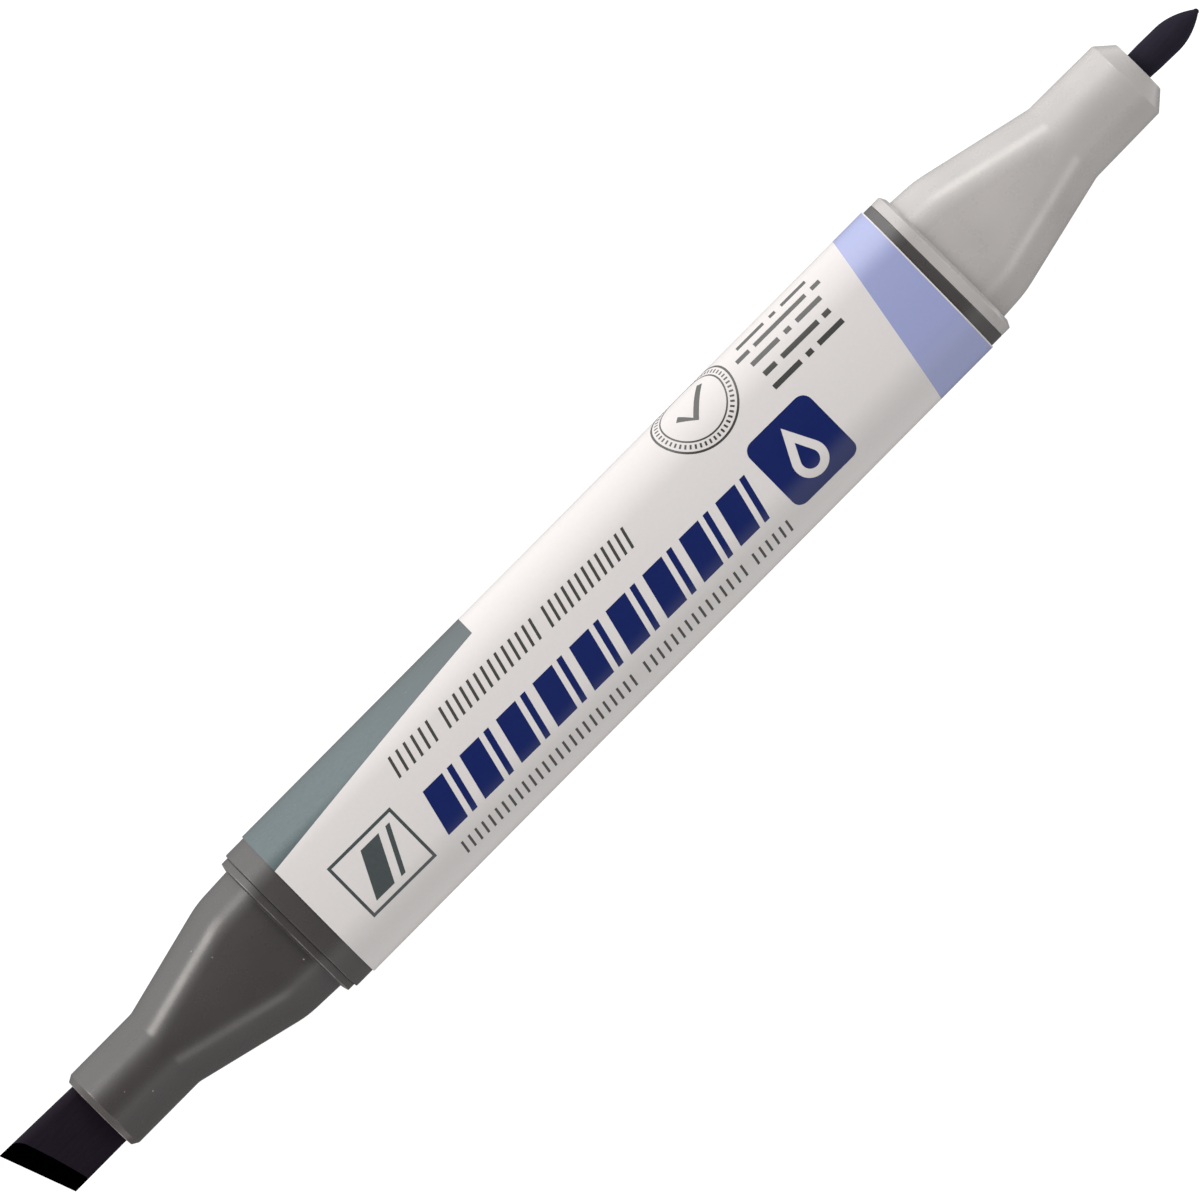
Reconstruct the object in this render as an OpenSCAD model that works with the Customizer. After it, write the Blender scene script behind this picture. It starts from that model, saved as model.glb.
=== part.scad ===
// Twin-tip felt marker without its caps, lying on its flat back.
// +X runs along the marker to the fine tip, +Z is up, and the origin is
// under the middle of the marker, on the surface that it lies on.

/* [Barrel] */
// Width of the barrel across its flat face
barrel_w = 15.7; // [15.4:0.1:16.4]
// Thickness of the barrel from flat face to flat face
barrel_t = 11.7; // [11.4:0.1:12.4]
// Radius of the barrel's four long corners
barrel_r = 4.8; // [4.5:0.1:5.0]
// Length of the barrel between the two holders
barrel_len = 78.0; // [70:0.5:90]
// Wall thickness of the barrel
barrel_wall = 1.2; // [1.0:0.1:1.4]
// Height of the ribs that keep the reservoir off the barrel wall
air_rib_h = 0.2; // [0.1:0.05:0.3]
// Width of those ribs
air_rib_w = 0.8; // [0.5:0.1:1.2]

/* [Label] */
// Thickness of the printed sleeve
label_t = 0.15; // [0.1:0.01:0.2]
// Bare barrel left at the broad end
label_gap_broad = 2.05; // [1:0.05:3]
// Bare barrel left at the fine end
label_gap_fine = 1.1; // [0.5:0.05:3]

/* [Shared holder sizes] */
// Width of the seat that a cap closes on
seat_w = 13.7; // [13.4:0.1:14.0]
// Thickness of that seat
seat_t = 9.7; // [9.4:0.1:10.0]
// Corner radius of that seat
seat_r = 4.1; // [3.9:0.05:4.2]
// Radius of the round tube behind each tip
tube_r = 4.1; // [4.0:0.05:4.3]
// Length of the plug that goes into the barrel
plug_len = 6.0; // [5:0.5:8]
// Wall thickness of the plug
plug_wall = 1.2; // [1.0:0.1:1.4]
// Gap on each side between the plug and the barrel
plug_gap = 0.05; // [0.03:0.01:0.1]
// Depth of the chamfer round the flange's front edge
flange_chamfer = 0.6; // [0.4:0.1:0.7]

/* [Broad holder] */
// Length of its flange
broad_flange_len = 0.9; // [0.7:0.05:1.2]
// Width of its flange
broad_flange_w = 15.2; // [15:0.1:15.4]
// Length of the chamfer at the flange's front edge
broad_flange_chamfer_len = 0.15; // [0.1:0.05:0.3]
// Length of its seat, before the taper
broad_seat_len = 3.8; // [3:0.1:5]
// Length of its taper
broad_taper_len = 10.5; // [9:0.5:12]
// Length of its tube, with the chamfer
broad_tube_len = 7.85; // [7:0.05:9]
// Length of the chamfer at the tube's mouth
broad_mouth_len = 0.6; // [0.3:0.05:0.8]
// Radius of the tube's mouth
broad_mouth_r = 3.75; // [3.7:0.05:3.9]

/* [Fine holder] */
// Length of its flange
fine_flange_len = 1.25; // [1:0.05:1.6]
// Width of its flange
fine_flange_w = 15.7; // [15.4:0.1:15.9]
// Length of the chamfer at the flange's front edge
fine_flange_chamfer_len = 0.3; // [0.2:0.05:0.4]
// Length of its seat, before the taper
fine_seat_len = 2.6; // [2:0.1:4]
// Length of its taper
fine_taper_len = 11.25; // [10:0.25:12]
// Length of its tube, with the chamfer
fine_tube_len = 9.15; // [8:0.05:10]
// Length of the chamfer at the tube's mouth
fine_mouth_len = 1.55; // [1.2:0.05:1.8]
// Radius of the tube's mouth
fine_mouth_r = 2.65; // [2.5:0.05:2.9]

/* [Broad nib] */
// Width of the nib
broad_nib_w = 6.6; // [6.4:0.05:6.7]
// Thickness of the nib
broad_nib_t = 3.9; // [3.6:0.05:4.0]
// Radius of the nib's long edges
broad_nib_r = 0.6; // [0.5:0.05:0.8]
// How far the nib's long corner stands out of the tube
broad_nib_out = 8.65; // [7:0.05:10]
// How far the short corner lies behind the long one
broad_nib_rake = 2.4; // [1:0.1:3]
// Length of the bevel on the nib's front face
broad_bevel_len = 1.7; // [1:0.1:2.5]
// Length of the bevel on the nib's back face
broad_back_bevel_len = 0.5; // [0.3:0.1:1]
// Height of the nib's writing edge above its middle
broad_edge_z = -0.9; // [-1.2:0.1:0]

/* [Fine nib] */
// Radius of the nib
fine_nib_r = 1.42; // [1.3:0.01:1.5]
// How far the nib stands out of the tube
fine_nib_out = 7.05; // [6:0.05:8]
// Length of the pointed end
fine_point_len = 4.0; // [3:0.1:5]
// Radius of the small round tip
fine_tip_r = 0.25; // [0.15:0.05:0.4]

/* [Reservoir] */
// Thickness of the film round the fibre
film_t = 0.1; // [0.08:0.01:0.15]
// Gap between each end of the reservoir and the plug
reservoir_end_gap = 0.3; // [0.2:0.05:0.6]
// Depth that each nib goes into the reservoir
nib_pocket = 4.0; // [3:0.5:6]

/* [Fits] */
// Gap between a nib and the holder's guide
nib_gap = 0.05; // [0.03:0.01:0.1]
// Gap between a nib and its pocket in the reservoir
pocket_gap = 0.1; // [0.05:0.01:0.2]

/* [Hidden] */
$fn = 64;
hull_fn = 32;
skin = 0.02;
bite = 0.2;

axis_z = barrel_t / 2 + label_t;

broad_out = broad_flange_len + broad_seat_len + broad_taper_len + broad_tube_len;
fine_out = fine_flange_len + fine_seat_len + fine_taper_len + fine_tube_len;
overall_len = broad_nib_out + broad_out + barrel_len + fine_out + fine_nib_out;

barrel_x = broad_nib_out + broad_out - overall_len / 2;
barrel_end_x = barrel_x + barrel_len;

cavity_w = barrel_w - 2 * barrel_wall;
cavity_t = barrel_t - 2 * barrel_wall;
cavity_r = barrel_r - barrel_wall;
air_rib_y = 2.5;
air_rib_z = 0.6;

plug_w = cavity_w - 2 * plug_gap;
plug_t = cavity_t - 2 * plug_gap;
plug_r = cavity_r - plug_gap;
plug_bore_w = plug_w - 2 * plug_wall;
plug_bore_t = plug_t - 2 * plug_wall;
plug_bore_r = plug_r - plug_wall;

reservoir_w = cavity_w - 2 * air_rib_h;
reservoir_t = cavity_t - 2 * air_rib_h;
reservoir_r = cavity_r - air_rib_h;
reservoir_inset = plug_len + reservoir_end_gap;
reservoir_x = barrel_x + reservoir_inset;
reservoir_len = barrel_len - 2 * reservoir_inset;

broad_nib_len = broad_nib_out + broad_out + reservoir_inset + nib_pocket;
fine_nib_len = fine_nib_out + fine_out + reservoir_inset + nib_pocket;

// How far the seat narrows at the bend, and where the bend starts
bend_drop = 0.25;
bend_len = 1.8;
// How far a round tube starts inside its taper
tube_lap = 0.1;
// Wall left outside the holders' inner cavities, and the grip ribs' width
taper_wall = 1.2;
grip_rib_w = 0.8;
// Air grooves beside each nib
vent_w = 0.7;
vent_h = 0.35;
// Length of the fine holder's narrow guide at the mouth
fine_guide_len = 4.0;
fine_bore_r = 2.8;

// Flat outline of width w and height h with four round corners
module rounded_rect(w, h, r, fn = 64) {
    square([w, h - 2 * r], center = true);
    square([w - 2 * r, h], center = true);
    for (x = [-1, 1], y = [-1, 1])
        translate([x * (w / 2 - r), y * (h / 2 - r)])
            circle(r = r, $fn = fn);
}

// Bar of that outline along X from x, centred on the marker's axis
module bar(x, len, w, t, r, fn = 64) {
    translate([x, 0, axis_z])
        rotate([90, 0, 90])
            linear_extrude(len)
                rounded_rect(w, t, r, fn);
}

// Round rod or cone along X from x
module rod(x, len, r1, r2, fn = 64) {
    translate([x, 0, axis_z])
        rotate([0, 90, 0])
            cylinder(h = len, r1 = r1, r2 = r2, $fn = fn);
}

// Block along X from x, centred on the marker's axis
module block(x, len, w, t) {
    translate([x, -w / 2, axis_z - t / 2])
        cube([len, w, t]);
}

// Turns a shape built towards +X into one that points to -X from the barrel
module to_broad_end() {
    translate([barrel_x, 0, 0])
        mirror([1, 0, 0])
            children();
}

module to_fine_end() {
    translate([barrel_end_x, 0, 0])
        children();
}

module barrel() {
    color([0.27, 0.26, 0.25]) {
        difference() {
            bar(barrel_x, barrel_len, barrel_w, barrel_t, barrel_r);
            bar(barrel_x - 1, barrel_len + 2, cavity_w, cavity_t, cavity_r);
        }
        air_ribs();
    }
}

// Low ribs inside the barrel that leave an air path past the reservoir
module air_ribs() {
    h = air_rib_h + bite;
    for (y = [-1, 1], s = [-1, 1])
        translate([reservoir_x, y * air_rib_y - air_rib_w / 2, axis_z])
            translate([0, 0, s * (cavity_t / 2 + bite / 2 - air_rib_h / 2) - h / 2])
                cube([reservoir_len, air_rib_w, h]);
    for (z = [-1, 1], s = [-1, 1])
        translate([reservoir_x, 0, axis_z + z * air_rib_z - air_rib_w / 2])
            translate([0, s * (cavity_w / 2 + bite / 2 - air_rib_h / 2) - h / 2, 0])
                cube([reservoir_len, h, air_rib_w]);
}

module label_sleeve() {
    x = barrel_x + label_gap_broad;
    len = barrel_len - label_gap_broad - label_gap_fine;
    w = barrel_w + 2 * label_t;
    t = barrel_t + 2 * label_t;
    color([0.92, 0.91, 0.90])
        difference() {
            bar(x, len, w, t, barrel_r + label_t);
            bar(x - 1, len + 2, barrel_w, barrel_t, barrel_r);
        }
}

module reservoir_core() {
    w = reservoir_w - 2 * film_t;
    t = reservoir_t - 2 * film_t;
    pocket_w = broad_nib_w + 2 * pocket_gap;
    pocket_t = broad_nib_t + 2 * pocket_gap;
    pocket_r = fine_nib_r + pocket_gap;
    end_x = reservoir_x + reservoir_len;
    color([0.62, 0.64, 0.80])
        difference() {
            bar(reservoir_x, reservoir_len, w, t, reservoir_r - film_t);
            bar(reservoir_x - 1, nib_pocket + 1.2, pocket_w, pocket_t, broad_nib_r);
            rod(end_x - nib_pocket - 0.2, nib_pocket + 1.2, pocket_r, pocket_r);
        }
}

module reservoir_film() {
    w = reservoir_w - 2 * film_t;
    t = reservoir_t - 2 * film_t;
    color([0.85, 0.87, 0.90, 0.6])
        difference() {
            bar(reservoir_x, reservoir_len, reservoir_w, reservoir_t, reservoir_r);
            bar(reservoir_x - 1, reservoir_len + 2, w, t, reservoir_r - film_t);
        }
}

// Flange with a chamfer round its front edge, from x = 0
module flange(len, w, t, r, chamfer_len) {
    front_w = w - 2 * flange_chamfer;
    front_t = t - 2 * flange_chamfer;
    bar(0, len - chamfer_len, w, t, r);
    hull() {
        bar(len - chamfer_len - skin, skin, w, t, r, hull_fn);
        bar(len - skin, skin, front_w, front_t, r - flange_chamfer, hull_fn);
    }
}

// Seat and its taper from the oblong section to the round tube, from x = 0
module seat_and_taper(seat_len, taper_len) {
    bend_w = seat_w - 2 * bend_drop;
    bend_t = seat_t - bend_drop;
    bar(0, seat_len - bend_len, seat_w, seat_t, seat_r);
    hull() {
        bar(seat_len - bend_len - skin, skin, seat_w, seat_t, seat_r, hull_fn);
        bar(seat_len, skin, bend_w, bend_t, seat_r, hull_fn);
        rod(seat_len + taper_len - skin, skin, tube_r, tube_r, hull_fn);
    }
}

// Plug that goes into the barrel, from x = 0 back to x = -plug_len
module plug() {
    bar(-plug_len, plug_len + 0.5, plug_w, plug_t, plug_r);
}

// Plates inside the plug that hold a nib's shank of width w and thickness t
module grip_ribs(w, t) {
    len = plug_len - 0.5;
    side_h = (plug_bore_w - w) / 2 + bite;
    top_h = (plug_bore_t - t) / 2 + bite;
    for (s = [-1, 1]) {
        translate([-plug_len + 0.5, s * (w + side_h) / 2 - side_h / 2, axis_z - grip_rib_w / 2])
            cube([len, side_h, grip_rib_w]);
        translate([-plug_len + 0.5, -grip_rib_w / 2, axis_z + s * (t + top_h) / 2 - top_h / 2])
            cube([len, grip_rib_w, top_h]);
    }
}

module broad_holder() {
    seat_x = broad_flange_len;
    tube_x = seat_x + broad_seat_len + broad_taper_len;
    flange_t = barrel_t - (barrel_w - broad_flange_w);
    guide_w = broad_nib_w + 2 * nib_gap;
    guide_t = broad_nib_t + 2 * nib_gap;
    straight_len = broad_tube_len - broad_mouth_len;
    color([0.29, 0.28, 0.27])
        to_broad_end() {
            difference() {
                union() {
                    plug();
                    flange(broad_flange_len, broad_flange_w, flange_t, barrel_r, broad_flange_chamfer_len);
                    translate([seat_x - 0.5, 0, 0])
                        bar(0, 1, seat_w, seat_t, seat_r);
                    translate([seat_x, 0, 0])
                        seat_and_taper(broad_seat_len, broad_taper_len);
                    rod(tube_x - tube_lap, straight_len + tube_lap, tube_r, tube_r);
                    rod(tube_x + straight_len, broad_mouth_len, tube_r, broad_mouth_r);
                }
                bar(-plug_len - 1, plug_len + 2, plug_bore_w, plug_bore_t, plug_bore_r);
                hull() {
                    bar(0.9, skin, plug_bore_w, plug_bore_t, plug_bore_r, hull_fn);
                    bar(tube_x - 2, skin, guide_w, guide_t, broad_nib_r, hull_fn);
                }
                bar(tube_x - 2.5, broad_tube_len + 4, guide_w, guide_t, broad_nib_r);
                block(tube_x - 2.5, broad_tube_len + 4, vent_w, guide_t + 2 * vent_h);
            }
            grip_ribs(guide_w, guide_t);
        }
}

module fine_holder() {
    seat_x = fine_flange_len;
    tube_x = seat_x + fine_seat_len + fine_taper_len;
    guide_r = fine_nib_r + nib_gap;
    guide_x = tube_x + fine_tube_len - fine_guide_len;
    straight_len = fine_tube_len - fine_mouth_len;
    color([0.66, 0.645, 0.635])
        to_fine_end() {
            difference() {
                union() {
                    plug();
                    flange(fine_flange_len, fine_flange_w, barrel_t, barrel_r, fine_flange_chamfer_len);
                    translate([seat_x - 0.5, 0, 0])
                        bar(0, 1, seat_w, seat_t, seat_r);
                    translate([seat_x, 0, 0])
                        seat_and_taper(fine_seat_len, fine_taper_len);
                    rod(tube_x - tube_lap, straight_len + tube_lap, tube_r, tube_r);
                    rod(tube_x + straight_len, fine_mouth_len, tube_r, fine_mouth_r);
                }
                bar(-plug_len - 1, plug_len + 2, plug_bore_w, plug_bore_t, plug_bore_r);
                hull() {
                    bar(0.9, skin, plug_bore_w, plug_bore_t, plug_bore_r, hull_fn);
                    rod(tube_x, skin, fine_bore_r, fine_bore_r, hull_fn);
                }
                rod(tube_x - 0.5, fine_tube_len - fine_guide_len + 0.5, fine_bore_r, fine_bore_r);
                rod(guide_x - 1, fine_guide_len + 2, guide_r, guide_r);
                block(guide_x - 1, fine_guide_len + 2, 2 * (guide_r + vent_h), vent_w);
            }
            grip_ribs(2 * guide_r, 2 * guide_r);
        }
}

// Chisel nib: a flat bar whose end is cut at a slant and bevelled to an edge
module broad_nib() {
    tip_x = broad_out + broad_nib_out;
    back_x = tip_x - broad_nib_len;
    rake_angle = atan(broad_nib_rake / broad_nib_w);
    color([0.10, 0.09, 0.12])
        to_broad_end()
            intersection() {
                bar(back_x, broad_nib_len, broad_nib_w, broad_nib_t, broad_nib_r);
                translate([tip_x, broad_nib_w / 2, axis_z])
                    rotate([0, 0, -rake_angle])
                        nib_wedge();
            }
}

// Wedge with its edge along Y through the origin, that cuts the nib's end
module nib_wedge() {
    top_z = broad_nib_t / 2 + 1;
    front_slope = broad_bevel_len / (broad_nib_t / 2 - broad_edge_z);
    back_slope = broad_back_bevel_len / (broad_nib_t / 2 + broad_edge_z);
    wedge_w = 6 * broad_nib_w;
    wedge_len = 2 * broad_nib_len;
    translate([0, wedge_w / 2, 0])
        rotate([90, 0, 0])
            linear_extrude(wedge_w)
                polygon([
                    [-wedge_len, -top_z],
                    [-back_slope * (top_z + broad_edge_z), -top_z],
                    [0, broad_edge_z],
                    [-front_slope * (top_z - broad_edge_z), top_z],
                    [-wedge_len, top_z]
                ]);
}

// Half outline of the fine nib's point: a pointed arch, then the tip's quarter circle
function point_outline(arch_steps, tip_steps) = concat(
    [
        for (i = [0:arch_steps])
            let (s = i / arch_steps)
                [fine_nib_r - (fine_nib_r - fine_tip_r) * s * s, s * (fine_point_len - fine_tip_r)]
    ],
    [
        for (i = [1:tip_steps])
            let (a = 90 * i / tip_steps)
                [fine_tip_r * cos(a), fine_point_len - fine_tip_r + fine_tip_r * sin(a)]
    ]
);

module fine_nib() {
    tip_x = fine_out + fine_nib_out;
    back_x = tip_x - fine_nib_len;
    color([0.10, 0.09, 0.12])
        to_fine_end() {
            rod(back_x, fine_nib_len - fine_point_len, fine_nib_r, fine_nib_r);
            translate([tip_x - fine_point_len, 0, axis_z])
                rotate([0, 90, 0])
                    rotate_extrude()
                        polygon(concat([[0, 0]], point_outline(12, 4)));
        }
}

barrel();
label_sleeve();
reservoir_core();
reservoir_film();
broad_holder();
fine_holder();
broad_nib();
fine_nib();
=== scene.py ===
import math

import bmesh
import bpy
from mathutils import Matrix, Vector
from mathutils.geometry import delaunay_2d_cdt


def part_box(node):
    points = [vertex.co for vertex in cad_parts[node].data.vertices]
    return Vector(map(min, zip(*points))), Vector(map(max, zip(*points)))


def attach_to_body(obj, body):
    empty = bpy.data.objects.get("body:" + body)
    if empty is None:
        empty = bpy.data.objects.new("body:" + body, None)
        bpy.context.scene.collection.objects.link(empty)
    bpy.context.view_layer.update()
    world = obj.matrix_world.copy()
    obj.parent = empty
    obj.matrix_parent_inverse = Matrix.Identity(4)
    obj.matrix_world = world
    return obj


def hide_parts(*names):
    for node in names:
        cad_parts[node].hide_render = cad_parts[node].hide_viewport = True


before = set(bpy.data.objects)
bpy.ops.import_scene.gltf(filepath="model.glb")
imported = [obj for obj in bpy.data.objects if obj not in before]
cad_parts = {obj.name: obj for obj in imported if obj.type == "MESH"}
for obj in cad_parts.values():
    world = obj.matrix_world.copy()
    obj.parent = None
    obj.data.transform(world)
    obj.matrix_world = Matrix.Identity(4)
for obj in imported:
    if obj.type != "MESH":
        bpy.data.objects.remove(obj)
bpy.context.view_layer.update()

MM = 0.001


# ---------------------------------------------------------------- frame sizes
def extent(node, axis):
    """Lowest and highest coordinate of a CAD node along an axis, in millimetres."""
    low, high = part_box(node)
    return low[axis] / MM, high[axis] / MM


BARREL_START, BARREL_END = extent("barrel", 0)
BARREL_HALF_W = extent("barrel", 1)[1]
BARREL_LOW, BARREL_HIGH = extent("barrel", 2)
BARREL_HALF_T = (BARREL_HIGH - BARREL_LOW) / 2
AXIS_Z = (BARREL_LOW + BARREL_HIGH) / 2
BARREL_LEN = BARREL_END - BARREL_START
BARREL_R = 4.8
BARREL_WALL = 1.2
# Joint between the barrel and the fine holder, counted from the CAD barrel's end
FINE_JOINT = -0.14

LABEL_START, LABEL_END = extent("label_sleeve", 0)
LABEL_T = extent("label_sleeve", 1)[1] - BARREL_HALF_W
# The film sits a little askew, and over its last stretch at the fine end it leans more and draws back
PRINT_SKEW = math.tan(math.radians(0.6))
END_SKEW = math.tan(math.radians(1.0))
END_STRETCH = 6.0
END_DRAW = 0.12

BROAD_OUT = BARREL_START - extent("broad_holder", 0)[0]
FINE_OUT = extent("fine_holder", 0)[1] - BARREL_END
PLUG_LEN = extent("broad_holder", 0)[1] - BARREL_START
BROAD_NIB_TIP = BARREL_START - extent("broad_nib", 0)[0]
BROAD_NIB_BACK = BARREL_START - extent("broad_nib", 0)[1]
FINE_NIB_TIP = extent("fine_nib", 0)[1] - BARREL_END
FINE_NIB_BACK = extent("fine_nib", 0)[0] - BARREL_END
BROAD_NIB_HALF_T = (extent("broad_nib", 2)[1] - extent("broad_nib", 2)[0]) / 2
BROAD_NIB_HALF_W = extent("broad_nib", 1)[1]
FINE_NIB_R = extent("fine_nib", 1)[1]

SEAT = (6.85, 4.85, 4.1)
TUBE_R = 4.1


# ------------------------------------------------------------------ materials
def node_maker(owner):
    """Clears the nodes of a material or world and returns functions that add nodes and join them."""
    owner.use_nodes = True
    tree = owner.node_tree
    tree.nodes.clear()

    def add(kind, **settings):
        node = tree.nodes.new(kind)
        for key, value in settings.items():
            if key in node.inputs:
                node.inputs[key].default_value = value
            else:
                setattr(node, key, value)
        return node

    def join(source, target):
        tree.links.new(source, target)

    return add, join


def new_material(name, **settings):
    """Material with one principled surface: the material, its shader and the two node functions."""
    material = bpy.data.materials.new(name)
    add, join = node_maker(material)
    shader = add("ShaderNodeBsdfPrincipled", **settings)
    output = add("ShaderNodeOutputMaterial")
    join(shader.outputs["BSDF"], output.inputs["Surface"])
    return material, shader, add, join


def ramp(add, join, source, stops):
    """Grey ramp from a value; stops are (position, grey)."""
    node = add("ShaderNodeValToRGB")
    elements = node.color_ramp.elements
    while len(elements) < len(stops):
        elements.new(0.5)
    for element, (position, value) in zip(elements, stops):
        element.position = position
        element.color = (value, value, value, 1.0)
    join(source, node.inputs["Fac"])
    return node.outputs["Color"]


def mix(add, join, factor, first, second, blend="MIX"):
    """Colour mix; first and second are sockets or colours, factor a socket or a number."""
    node = add("ShaderNodeMix", data_type="RGBA", blend_type=blend)
    for name, value in (("Factor", factor), ("A", first), ("B", second)):
        index = {"Factor": 0, "A": 6, "B": 7}[name]
        if isinstance(value, bpy.types.NodeSocket):
            join(value, node.inputs[index])
        else:
            node.inputs[index].default_value = value if name == "Factor" else (*value, 1.0)
    return node.outputs[2]


def object_noise(add, join, scale, detail=3.0, roughness=0.5, stretch=(1, 1, 1)):
    """Noise in the part's own space, stretched along X, Y and Z."""
    coords = add("ShaderNodeTexCoord")
    mapping = add("ShaderNodeMapping", Scale=stretch)
    noise = add("ShaderNodeTexNoise", Scale=scale, Detail=detail, Roughness=roughness)
    join(coords.outputs["Object"], mapping.inputs["Vector"])
    join(mapping.outputs["Vector"], noise.inputs["Vector"])
    return noise.outputs["Fac"]


def along_x(add, join, start_x, end_x, first, last):
    """Value that runs from first to last between two X positions in metres, and holds beyond them."""
    coords = add("ShaderNodeTexCoord")
    split = add("ShaderNodeSeparateXYZ")
    join(coords.outputs["Object"], split.inputs["Vector"])
    limits = {"From Min": start_x, "From Max": end_x, "To Min": first, "To Max": last}
    spread = add("ShaderNodeMapRange", **limits)
    join(split.outputs["X"], spread.inputs["Value"])
    return spread.outputs["Result"]


def bump(add, join, height, strength, distance, under=None):
    """Bump from a height socket, on top of another bump's normal."""
    node = add("ShaderNodeBump", Strength=strength, Distance=distance)
    join(height, node.inputs["Height"])
    if under is not None:
        join(under, node.inputs["Normal"])
    return node.outputs["Normal"]


def shade(colour, factor):
    """Colour made darker or lighter by a factor."""
    return tuple(min(1.0, c * factor) for c in colour)


def moulded_plastic(name, colour, worn, roughness, dust=0.0, ink_tinge=None):
    """Satin moulded plastic: faint colour clouds, fine grain, scuffed edges in the worn colour, which also
    paints a pale highlight along them, and a little dust.

    ink_tinge is (X of the mouth, reach, colour) for stains of ink that fade away from a mouth."""
    material, shader, add, join = new_material(name, IOR=1.52)
    clouds = ramp(add, join, object_noise(add, join, 180.0, 2.0), [(0.35, 0.0), (0.65, 1.0)])
    base = mix(add, join, clouds, shade(colour, 0.96), shade(colour, 1.04))
    if ink_tinge:
        mouth_x, reach, tint = ink_tinge
        near = along_x(add, join, mouth_x, mouth_x + reach, 0.5, 0.0)
        blotch = ramp(add, join, object_noise(add, join, 900.0, 4.0, 0.6), [(0.45, 0.0), (0.62, 1.0)])
        base = mix(add, join, mix(add, join, 1.0, near, blotch, "MULTIPLY"), base, tint)
    # Edges marked in the edge_wear_and_highlight attribute take the worn colour through a noise mask:
    # scuffs, and a painted pale highlight along those edges.
    wear_and_highlight = add("ShaderNodeAttribute", attribute_name="edge_wear_and_highlight")
    scuff_and_highlight_noise = ramp(add, join, object_noise(add, join, 450.0, 4.0, 0.65), [(0.40, 0.0), (0.62, 1.0)])
    rubbed_and_highlit = mix(add, join, 1.0, wear_and_highlight.outputs["Fac"], scuff_and_highlight_noise, "MULTIPLY")
    base = mix(add, join, rubbed_and_highlit, base, worn)
    if dust:
        place = add("ShaderNodeTexCoord")
        cells = add("ShaderNodeTexVoronoi", Scale=700.0)
        join(place.outputs["Object"], cells.inputs["Vector"])
        dots = ramp(add, join, cells.outputs["Distance"], [(0.03, dust), (0.055, 0.0)])
        some = ramp(add, join, cells.outputs["Color"], [(0.58, 0.0), (0.62, 1.0)])
        base = mix(add, join, mix(add, join, 1.0, dots, some, "MULTIPLY"), base, (0.55, 0.53, 0.49))
    join(base, shader.inputs["Base Color"])
    sheen = object_noise(add, join, 420.0, 4.0, 0.6)
    rough = ramp(add, join, sheen, [(0.3, roughness - 0.03), (0.7, roughness + 0.03)])
    join(rough, shader.inputs["Roughness"])
    flow = bump(add, join, object_noise(add, join, 90.0, 2.0, 0.4, (0.35, 1, 1)), 0.06, 0.00006)
    grain = object_noise(add, join, 5200.0, 2.0, 0.55)
    join(bump(add, join, grain, 0.06, 0.00002, flow), shader.inputs["Normal"])
    return material


def printed_film(name, colour, gloss=0.5, roughness=0.22, mottle=0.006, metallic=0.0, gradient=None):
    """Glossy printed film: an even ink with faint mottle under a clear skin that ripples slightly."""
    material, shader, add, join = new_material(name, IOR=1.5, Metallic=metallic)
    shader.inputs["Specular IOR Level"].default_value = gloss
    spots = ramp(add, join, object_noise(add, join, 2600.0, 3.0, 0.6), [(0.3, 0.0), (0.7, 1.0)])
    base = mix(add, join, spots, shade(colour, 1 - mottle * 2), shade(colour, 1 + mottle * 2))
    if gradient:
        start_x, end_x, far_colour = gradient
        base = mix(add, join, along_x(add, join, start_x, end_x, 0.0, 1.0), base, far_colour)
    join(base, shader.inputs["Base Color"])
    smear = object_noise(add, join, 350.0, 4.0, 0.6, (0.4, 1, 1))
    rough = ramp(add, join, smear, [(0.3, roughness - 0.02), (0.7, roughness + 0.03)])
    join(rough, shader.inputs["Roughness"])
    ripple = bump(add, join, object_noise(add, join, 110.0, 2.0, 0.4, (0.3, 1, 1)), 0.06, 0.00004)
    join(ripple, shader.inputs["Normal"])
    return material


def felt(name, colour, lift, roughness=0.72, gloss=0.16):
    """Dense bonded fibre soaked with ink: fine lengthwise strands with a soft sheen."""
    material, shader, add, join = new_material(name, IOR=1.42)
    shader.inputs["Specular IOR Level"].default_value = gloss
    strands = object_noise(add, join, 3000.0, 4.0, 0.65, (0.12, 1, 1))
    pale = tuple(min(1.0, c + lift) for c in colour)
    base = mix(add, join, ramp(add, join, strands, [(0.35, 0.0), (0.75, 1.0)]), colour, pale)
    join(base, shader.inputs["Base Color"])
    rough = ramp(add, join, strands, [(0.2, roughness - 0.1), (0.8, roughness + 0.1)])
    join(rough, shader.inputs["Roughness"])
    pores = bump(add, join, object_noise(add, join, 4200.0, 3.0, 0.6), 0.35, 0.00003)
    join(bump(add, join, strands, 0.5, 0.00004, pores), shader.inputs["Normal"])
    return material


def clear_wrap(name):
    """Thin clear film that shows the fibre under it."""
    material, shader, add, join = new_material(name, IOR=1.5, Alpha=0.35)
    haze = object_noise(add, join, 200.0, 3.0, 0.5, (0.3, 1, 1))
    join(ramp(add, join, haze, [(0.3, 0.78), (0.7, 0.9)]), shader.inputs["Base Color"])
    join(ramp(add, join, haze, [(0.3, 0.14), (0.7, 0.28)]), shader.inputs["Roughness"])
    join(bump(add, join, haze, 0.4, 0.00008), shader.inputs["Normal"])
    return material


# Worn colours are paler than the plastics: on the holders' edges they paint a highlight as well as scuffs.
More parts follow.
